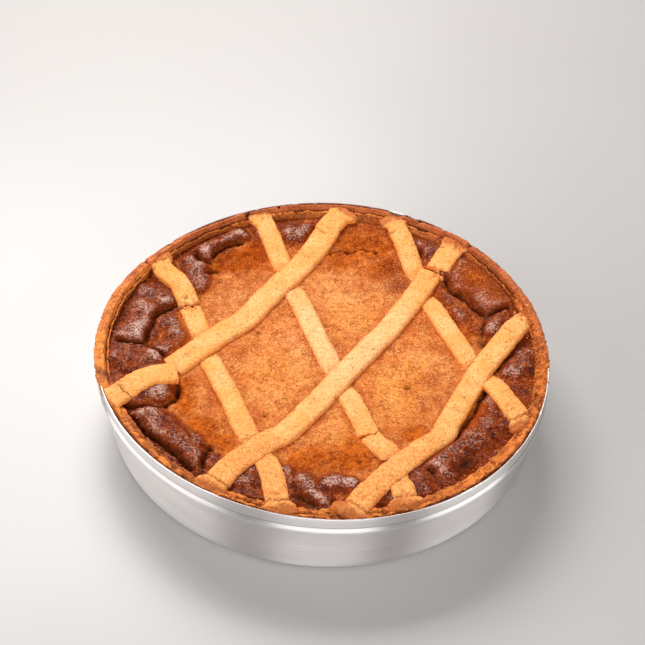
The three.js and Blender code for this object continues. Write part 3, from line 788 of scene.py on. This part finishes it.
bpy.ops.object.mode_set(mode="EDIT")
bpy.ops.mesh.select_mode(type="EDGE")
bpy.ops.mesh.select_all(action="DESELECT")
bpy.ops.mesh.select_non_manifold()
bpy.ops.mesh.extrude_edges_move()
bpy.ops.transform.resize(value=(1.0, 1.0, 0.0), center_override=(0.0, 0.0, FILLING_FLOOR * MM))
to_floor = FILLING_FLOOR_RADIUS / CASE_INNER_RADIUS
bpy.ops.transform.resize(value=(to_floor, to_floor, 1.0), center_override=(0.0, 0.0, 0.0))
bpy.ops.mesh.edge_face_add()
weld()

cream, skin, place = start_material("baked_cream")
speck = place.grain(1.2)
pore = place.grain(2.4, 4.0)
fold = place.grain(5.0, 3.0)
blotch = place.grain(8.0, 4.0)
patches = place.grain(22.0, 3.0)
# Painted glints: sparkle, glint and shine lighten fine specks of the skin as if they caught the light, and
# veil sets where the painted glints are stronger on the plateau. Sparkle also picks between tan's two
# browns.
veil = place.grain(12.0, 3.0).band(0.4, 0.62)
cracks = place.grain(3.2).line(0.06) * place.grain(6.0).band(0.5, 0.6)
wrinkle = place.grain(2.2).line(0.07) * place.grain(5.0).band(0.44, 0.6)
dots = place.grain(1.6, 1.0).band(0.66, 0.73)
sparkle = speck.band(0.52, 0.66)
gloss = place.grain(1.3, 1.0)
glint = gloss.band(0.58, 0.66)
brown, pulled, syrup, crown, cut, gold = (
    place.shade(name) for name in ("browning", "stretched", "syrup", "crown", "cut", "gold"))
wet = (fold * 0.6 + pore * 0.4).band(0.4, 0.6).blend((216, 104, 14), (150, 55, 0))
tan = sparkle.blend((132, 46, 0), (176, 78, 6))
shine = (gloss + 0.16 * crown + 0.2 * fold).band(0.66, 0.76)
dark = coats(fold.band(0.35, 0.7).blend((98, 28, 0), (158, 66, 4)), [
    # Painted sheen: the pillows' crests are lightened toward a greyish mauve, with painted glints on them.
    (crown * 0.42, (166, 98, 66)),
    (gold * 0.6, (204, 96, 16)),
    ((1.0 - speck).band(0.5, 0.62) * 0.7, (56, 13, 0)),
    (sparkle * (0.05 + 0.3 * crown), (206, 146, 118)),
    (shine * (0.14 + 0.44 * crown), (228, 198, 186)),
    (pulled * 0.5, (140, 50, 0)),
])
colour = coats(patches.band(0.35, 0.68).blend((226, 128, 54), (240, 155, 78)), [
    (place.shade("pale") * (0.2 + 0.7 * fold), (244, 168, 104)),
    (blotch.band(0.45, 0.62) * 0.48, (194, 88, 12)),
    # Golden patches of thin skin, and a painted highlight on the tops of the rumpled lumps.
    (gold * fold.band(0.36, 0.62) * 0.5, (255, 170, 62)),
    # Painted shade beside the strips, with brown mottling.
    (place.shade("beside") * (0.3 + 0.6 * blotch.band(0.3, 0.6)), (174, 78, 14)),
    (syrup * 0.85, wet),
    # Painted shade: the basins and the rumpled valleys are darkened.
    (place.shade("deep") * (0.4 + 0.8 * fold), (136, 46, 0)),
    (pore.band(0.5, 0.66) * 0.5, (160, 62, 2)),
    # Painted glints on the plateau and in the syrup.
    (sparkle * (0.26 + 0.18 * veil) * (1.0 - 0.7 * syrup), (255, 190, 120)),
    (sparkle * fold.band(0.4, 0.6) * syrup * 0.4, (255, 164, 66)),
    ((1.0 - speck).band(0.5, 0.62) * 0.4, (162, 62, 0)),
    (wrinkle * 0.4, (156, 58, 0)),
    (dots * 0.55, (150, 56, 0)),
    (cracks * 0.6, (142, 50, 0)),
    (pulled * 0.75, (156, 58, 0)),
    # Painted glints on the plateau and on the browned skin.
    (glint * (0.1 + 0.14 * veil) * (1.0 - 0.6 * syrup), (255, 200, 140)),
    (brown.band(0.0, 0.5), (glint * 0.35).blend(tan, (240, 164, 108))),
    (brown.band(0.3, 0.9), dark),
    # Painted shade: creases, cracks and pits darkened nearly to black.
    (cut, (38, 8, 0)),
])
relief = speck * 0.7 - pore * 0.6 - cracks * 0.4 - wrinkle * 0.2 - dots * 0.3
relief = relief + fold * 0.8 * brown + blotch * 0.4
feed(skin, {
    "Base Color": colour, "Specular IOR Level": 0.07, "Normal": place.bump(relief, 0.5),
    "Roughness": 0.54 + 0.4 * syrup + 0.3 * cut - 0.12 * brown})
finish_piece(filling, cream, ["filling"])

# The lattice: strips of the same shortcrust as the case, cut by hand about 15 mm wide.
# Five pieces lie one way and five across them, and baking has torn four strips apart.
STRIP_THICKNESS = 4.6
STRIP_STEP = 0.6
SECTION_POINTS = 48
SECTION_SQUARENESS = 0.42
STRIP_END_RADIUS = 136.9
FOOT_LENGTH = 9.0
FOOT_DROOP = 2.2
FOLD_DEPTH = 0.9
END_ROUNDING = 1.3
TEAR_DEPTH = 1.7
ARCH = 1.3
SHOULDER = 1.2
PINCH = 0.13
ROUGH_RELIEF = 0.27
FINE_RELIEF = 0.21
FOLDED_FLARE = 5

pastry, dough, place = start_material("golden_pastry")
sand = place.grain(0.9, 3.0)
patches = place.grain(14.0, 3.0)
crumb = place.grain(2.4, 3.0)
pores = place.grain(1.5, 1.0).band(0.64, 0.72)
cracks = place.grain(5.0).line(0.025) * place.grain(9.0).band(0.56, 0.66)
toast = place.shade("toast")
toasted = (sand * 0.6 + crumb * 0.4).band(0.36, 0.64).blend((234, 128, 50), (255, 186, 110))
colour = coats(patches.band(0.35, 0.7).blend((254, 172, 86), (255, 194, 120)), [
    (place.shade("pale") * 0.5, (255, 220, 164)),
    ((1.0 - crumb).band(0.46, 0.66) * 0.45, (248, 156, 72)),
    ((1.0 - sand).band(0.48, 0.66) * 0.4, (244, 148, 62)),
    (sand.band(0.5, 0.68) * 0.36, (255, 220, 162)),
    # Deeper orange on the sides and edges: partly toasted, partly painted shade.
    (place.shade("side") * 0.85, (236, 128, 38)),
    (toast.band(0.0, 0.5), toasted),
    (toast.band(0.4, 1.0) * (0.2 + 0.9 * sand), (180, 82, 30)),
    (pores * 0.32, (212, 114, 42)),
    (cracks * 0.26, (210, 112, 40)),
    (place.shade("crack") * 0.8, (156, 70, 20)),
])
feed(dough, {
    "Base Color": colour, "Specular IOR Level": 0.2, "Roughness": 0.62 + 0.2 * sand,
    "Normal": place.bump(sand + crumb * 0.8 - pores * 0.8 - cracks * 0.6, 0.8)})


def tear_line(across_mm, tear):
    """How far a torn end runs ahead or back at each place across the strip."""
    return TEAR_DEPTH * lumps(stack(across_mm, 40.0 * tear), 4.5, 4, 31.0)


def section_at(turn):
    """Where a strip's rounded section stands at each turn: across and up, each from -1 to 1."""
    return (np.sign(np.cos(turn)) * np.abs(np.cos(turn)) ** SECTION_SQUARENESS,
            np.sign(np.sin(turn)) * np.abs(np.sin(turn)) ** SECTION_SQUARENESS)


sweep = np.linspace(0.0, 2 * math.pi, 4001)
sweep_across, sweep_up = section_at(sweep)
section_run = np.concatenate([[0.0], np.cumsum(np.hypot(3.3 * np.diff(sweep_across), np.diff(sweep_up)))])


def make_strip(name, seed):
    width, flare, _, toast, torn, line, cracks = LATTICE[name]
    middle, run = centreline(line, STRIP_STEP)
    length = run[-1]
    sunk = np.zeros(len(middle))
    if "under" in name:
        near = np.full(len(middle), 1e9)
        for other, (other_width, _, _, _, _, other_line, _) in LATTICE.items():
            if "over" in other:
                distance = nearest_on_strip(other_line, middle[:, 0], middle[:, 1])[0]
                near = np.minimum(near, distance - other_width / 2)
        sunk = 1 - smooth(-1.0, 4.5, near)
        inward = smooth(4.0, 20.0, run) * smooth(4.0, 20.0, length - run)
        middle[:, 2] += ARCH * smooth(0.0, 16.0, near) * inward - SHOULDER * sunk
    heading = np.gradient(middle, axis=0)
    heading[:, 2] = 0.0
    heading /= np.linalg.norm(heading, axis=1)[:, None]
    cap = np.array([0.0, 0.3, 0.6, 0.82, 0.95])
    shrink = np.concatenate([cap, np.ones(len(middle)), cap[::-1]])
    station = np.clip(np.arange(len(shrink)) - len(cap), 0, len(middle) - 1)
    strip, flat = add_grid(name.replace("strip", "pastry_strip"), len(shrink) - 1, SECTION_POINTS)
    row = np.rint((flat[:, 0] + 1) / 2 * (len(shrink) - 1)).astype(int)
    turn = np.interp((flat[:, 1] + 1) / 2 * section_run[-1], section_run, sweep)
    at = station[row]
    size = shrink[row]
    across, upward = section_at(turn)
    from_end = length - run[at]
    from_ends = (run[at], from_end)
    foot = sum(wide * (1 - smooth(4.0, FOOT_LENGTH, distance)) for wide, distance in zip(flare, from_ends))
    wander = lumps(stack(run), 22.0, 2, seed)[at]
    swell = 1 + 0.03 * lumps(stack(run, 9), 15.0, 2, seed)[at]
    side = across * (width + foot) * swell * (1 - PINCH * sunk[at] ** 2) / 2 * size + 0.35 * wander
    level = (upward - 1) * STRIP_THICKNESS / 2 + 0.5 * (1 - across ** 2) - 0.3
    level = -STRIP_THICKNESS / 2 + (level + STRIP_THICKNESS / 2) * size
    bulge = END_ROUNDING * np.sqrt(1 - size ** 2)
    ahead = np.where(at == 0, -bulge * (0.3 if torn[0] else 1.0), bulge * (0.3 if torn[1] else 1.0))
    for tear, distance in zip(torn, from_ends):
        if tear:
            ahead += tear_line(side, tear) * (1 - smooth(0.0, 4.0, distance))
        else:
            ahead += 0.6 * lumps(stack(side, level), 4.0, 2, seed) * (distance < 0.1)
    points = stack(
        middle[at, 0] - heading[at, 1] * side + heading[at, 0] * ahead,
        middle[at, 1] + heading[at, 0] * side + heading[at, 1] * ahead,
        middle[at, 2] + level)
    groove = np.zeros(len(points))
    for crack_x, crack_y, depth, half_width in cracks:
        nearest = np.argmin(np.hypot(middle[:, 0] - crack_x, middle[:, 1] - crack_y))
        off = run[at] - run[nearest] + tear_line(side, nearest)
        open_share = smooth(0.0, 0.5, lumps(stack(side, nearest), 9.0, 2, 33.0) + 0.3)
        groove = np.maximum(groove, depth * open_share * hump(off, half_width))
    if flare[1] > FOLDED_FLARE:
        off = from_end - FOOT_LENGTH + tear_line(side, seed)
        groove = np.maximum(groove, FOLD_DEPTH * hump(off, 0.7))
        points[:, 2] += 0.6 * hump(from_end - 0.55 * FOOT_LENGTH, 2.4) * smooth(0.0, 0.6, upward)
    rough = lumps(points, 5.0, 3, seed + 1)
    fine = lumps(points, 1.7, 2, seed + 2)
    browned = np.zeros(len(points))
    spots = lumps(points, 9.0, 3, seed + 4)
    for toasted_length, distance in zip(toast, from_ends):
        if toasted_length:
            browned = np.maximum(browned, 1 - smooth(0.35, 1.25, distance / toasted_length + 0.45 * spots))
    relief = size * (ROUGH_RELIEF * rough + FINE_RELIEF * fine) * (1 + 0.7 * browned)
    points[:, 2] += upward * relief - groove * smooth(0.0, 0.6, upward)
    points[:, 0] += -heading[at, 1] * across * 1.3 * relief
    points[:, 1] += heading[at, 0] * across * 1.3 * relief
    angle = np.arctan2(points[:, 1], points[:, 0])
    radius = np.hypot(points[:, 0], points[:, 1])
    near_side = 1 - far_share(angle)
    left_foot = hump(turned(angle, FOOT_BEARING), 7, 4)
    limit = STRIP_END_RADIUS + 1.7 * left_foot + lobe(angle, points[:, 2]) + 0.5 * rough
    tip = smooth(-7.5, -0.5, radius - limit) * (1 - 0.7 * left_foot)
    kept = np.where(radius > limit, limit + 0.02 * (radius - limit), radius)
    points[:, :2] *= (kept / radius)[:, None]
    points[:, 2] -= FOOT_DROOP * tip ** 1.5 * near_side * smooth(-0.2, 0.6, upward)
    set_points(strip, points)
    warm = 0.34 * smooth(50, 84, -points[:, 1] + 12 * spots)
    warm = np.maximum(warm, 0.2 * smooth(100, 134, radius + 8 * spots))
    browned = np.maximum(browned, 0.9 * near_side * tip * smooth(-0.3, 0.5, spots + 0.1 + 0.3 * rough))
    # Painted shade: the strips' sides, edges and the dips under crossings get a deeper orange, partly
    # toasted edges and partly painted shade.
    rim_tint = 0.6 * smooth(0.66, 1.0, np.abs(across) + 0.12 * fine)
    set_shades(
        strip,
        toast=np.maximum(browned, warm),
        side=np.maximum(1 - smooth(-0.1, 0.8, upward * size + 0.15 * fine), rim_tint + 0.3 * sunk[at]),
        crack=groove,
        pale=1 - smooth(20, 80, np.hypot(points[:, 0] - 8, points[:, 1] - 14) + 8 * spots))
    weld()
    return strip


strips = []
for number, strip_name in enumerate(LATTICE):
    strips.append(make_strip(strip_name, 20.0 + 7 * number))
    finish_piece(strips[-1], pastry, [strip_name])

# The crumbs: bits of the same pastry, broken off at the torn strips and along the lip in baking.
# They lie loose where they fell, from under half a millimetre to five millimetres across.
CRUMB_LIMIT = 136.0
DROP_HEIGHT = 90.0
HEAP_TOAST = 0.05
TRAIL_TOAST = 0.75

# Heaps of crumbs: x, y, spread, count, largest size.
CRUMB_HEAPS = [
    (-88, 37, 6, 16, 1.8), (-86, 33, 4, 5, 2.4), (29, -65, 6, 8, 1.4), (70, 80, 5, 10, 1.8),
    (74, 77, 0.8, 1, 5.0), (69, 84, 3, 3, 3.0), (121, 43, 8, 7, 2.4), (-60, -116, 6, 8, 1.6),
    (-22, -128, 7, 8, 1.6), (48, -121, 6, 10, 1.8), (112, -44, 5, 8, 1.6), (-108, 74, 4, 6, 2.0),
    (-47, 122, 4, 5, 1.6), (-118, -46, 5, 6, 1.4)]
# Trails of crumbs inside the lip: first and last bearing, radius, count, largest size.
CRUMB_TRAILS = [
    (207, 240, 130.0, 30, 1.6), (243, 275, 131.5, 20, 1.5), (300, 335, 131.0, 40, 1.6),
    (-22, 20, 132.4, 120, 2.0), (160, 200, 132.0, 20, 1.2), (48, 58, 133.0, 20, 1.8),
    (120, 150, 133.0, 15, 1.3)]

crumb_luck = np.random.default_rng(5)
crumb_places = []
for heap_x, heap_y, spread, count, largest in CRUMB_HEAPS:
    for off_x, off_y, share in crumb_luck.normal(0.0, 0.5, (count, 3)):
        size = largest * (0.45 + 0.55 * math.exp(-share ** 2 * 6))
        place_x, place_y = heap_x + spread * off_x, heap_y + spread * off_y
        kept = min(1.0, CRUMB_LIMIT / math.hypot(place_x, place_y))
        crumb_places.append((place_x * kept, place_y * kept, size, HEAP_TOAST))
for first, last, trail_radius, count, largest in CRUMB_TRAILS:
    for _ in range(count):
        bearing = math.radians(crumb_luck.uniform(first, last))
        out = min(trail_radius + crumb_luck.normal(0.0, 1.8), CRUMB_LIMIT)
        size = largest * crumb_luck.uniform(0.35, 1.0)
        crumb_places.append((out * math.cos(bearing), out * math.sin(bearing), size, TRAIL_TOAST))

bpy.ops.object.select_all(action="DESELECT")
bpy.ops.mesh.primitive_ico_sphere_add(subdivisions=2, radius=0.5 * MM)
crumbs = bpy.context.object
crumbs.name = "pastry_crumbs"
ball = get_points(crumbs)
ball_faces = np.array([face.vertices[:] for face in crumbs.data.polygons])
depsgraph = bpy.context.evaluated_depsgraph_get()
grounds = [BVHTree.FromObject(piece, depsgraph) for piece in (case, filling, *strips)]
crumb_points, crumb_faces, crumb_toast = [], [], []
for crumb_x, crumb_y, size, browned in crumb_places:
    above = Vector((crumb_x, crumb_y, DROP_HEIGHT)) * MM
    hits = [ground.ray_cast(above, Vector((0.0, 0.0, -1.0)))[0] for ground in grounds]
    top = max(hit.z for hit in hits if hit is not None) / MM
    shape = ball * (1 + 0.45 * lumps(ball + 3.0 * len(crumb_points), 0.5, 2, 41.0))[:, None]
    spin = Matrix.Rotation(crumb_luck.uniform(0, 6.28), 3, crumb_luck.normal(size=3))
    shape = shape * (1.0, crumb_luck.uniform(0.6, 1.0), 0.65) @ np.array(spin).T * size
    crumb_faces.append(ball_faces + len(ball) * len(crumb_points))
    crumb_points.append(shape + (crumb_x, crumb_y, top + 0.2 * size))
    crumb_toast.append(np.full(len(ball), browned + crumb_luck.uniform(0.0, 0.4)))
crumbs.data.clear_geometry()
crumbs.data.from_pydata((np.vstack(crumb_points) * MM).tolist(), [], np.vstack(crumb_faces).tolist())
# The crumbs take a quarter of the strips' side tint, which is partly painted shade.
set_shades(crumbs, toast=np.concatenate(crumb_toast), side=np.full(len(crumb_points) * len(ball), 0.25))
finish_piece(crumbs, pastry, [])

# The stage: a plain pale floor and soft studio light from above and behind the left.
# The camera looks down at the pie from the photograph's height, turned a little on its axis.
FLOOR_SIZE = 6.0
ROOM_LIGHT = 0.3
CAMERA_LENS = 85.0
SENSOR_WIDTH = 36.0
CAMERA_ELEVATION = math.radians(43.357)
CAMERA_ROLL = math.radians(3.264)
CAMERA_PLACE = (-2.58, -678.591, 709.7)

bpy.ops.object.select_all(action="DESELECT")
bpy.ops.mesh.primitive_plane_add(size=FLOOR_SIZE)
floor = bpy.context.object
floor.name = "floor"
pale, ground_surface, place = start_material("pale_floor")
paint = place.grain(300.0).blend((178, 174, 172), (188, 185, 183))
feed(ground_surface, {"Base Color": paint, "Roughness": 0.35})
floor.data.materials.append(pale)


def add_light(name, place_mm, target_mm, size, energy, tint=(1.0, 1.0, 1.0)):
    data = bpy.data.lights.new(name, "AREA")
    data.shape = "RECTANGLE"
    data.size, data.size_y = size
    data.energy = energy
    data.color = tint
    lamp = bpy.data.objects.new(name, data)
    bpy.context.collection.objects.link(lamp)
    lamp.location = Vector(place_mm) * MM
    lamp.rotation_euler = (Vector(target_mm) - Vector(place_mm)).to_track_quat("-Z", "Y").to_euler()


add_light("back", (-350, 950, 1050), (0, 0, 40), (1.0, 0.7), 23.5, (1.0, 0.98, 0.96))
add_light("front", (60, -1280, 600), (0, 0, 20), (1.0, 0.9), 7.2)
add_light("left", (-1250, -420, 450), (0, 0, 20), (1.6, 1.2), 11.0)
add_light("right", (1250, -600, 500), (0, 0, 20), (1.0, 0.9), 6.5)

world = bpy.data.worlds.new("studio")
bpy.context.scene.world = world
world.use_nodes = True
feed(world.node_tree.nodes["Background"], {"Color": (1.0, 1.0, 1.0, 1.0), "Strength": ROOM_LIGHT})

lens = bpy.data.cameras.new("camera")
lens.lens = CAMERA_LENS
lens.sensor_width = SENSOR_WIDTH
lens.sensor_fit = "HORIZONTAL"
camera = bpy.data.objects.new("camera", lens)
bpy.context.collection.objects.link(camera)
tilt = Matrix.Rotation(math.pi / 2 - CAMERA_ELEVATION, 4, "X")
roll = Matrix.Rotation(CAMERA_ROLL, 4, "Z")
camera.matrix_world = Matrix.Translation(Vector(CAMERA_PLACE) * MM) @ tilt @ roll
bpy.context.scene.camera = camera
bpy.context.scene.view_settings.view_transform = "Standard"

bpy.context.view_layer.update()
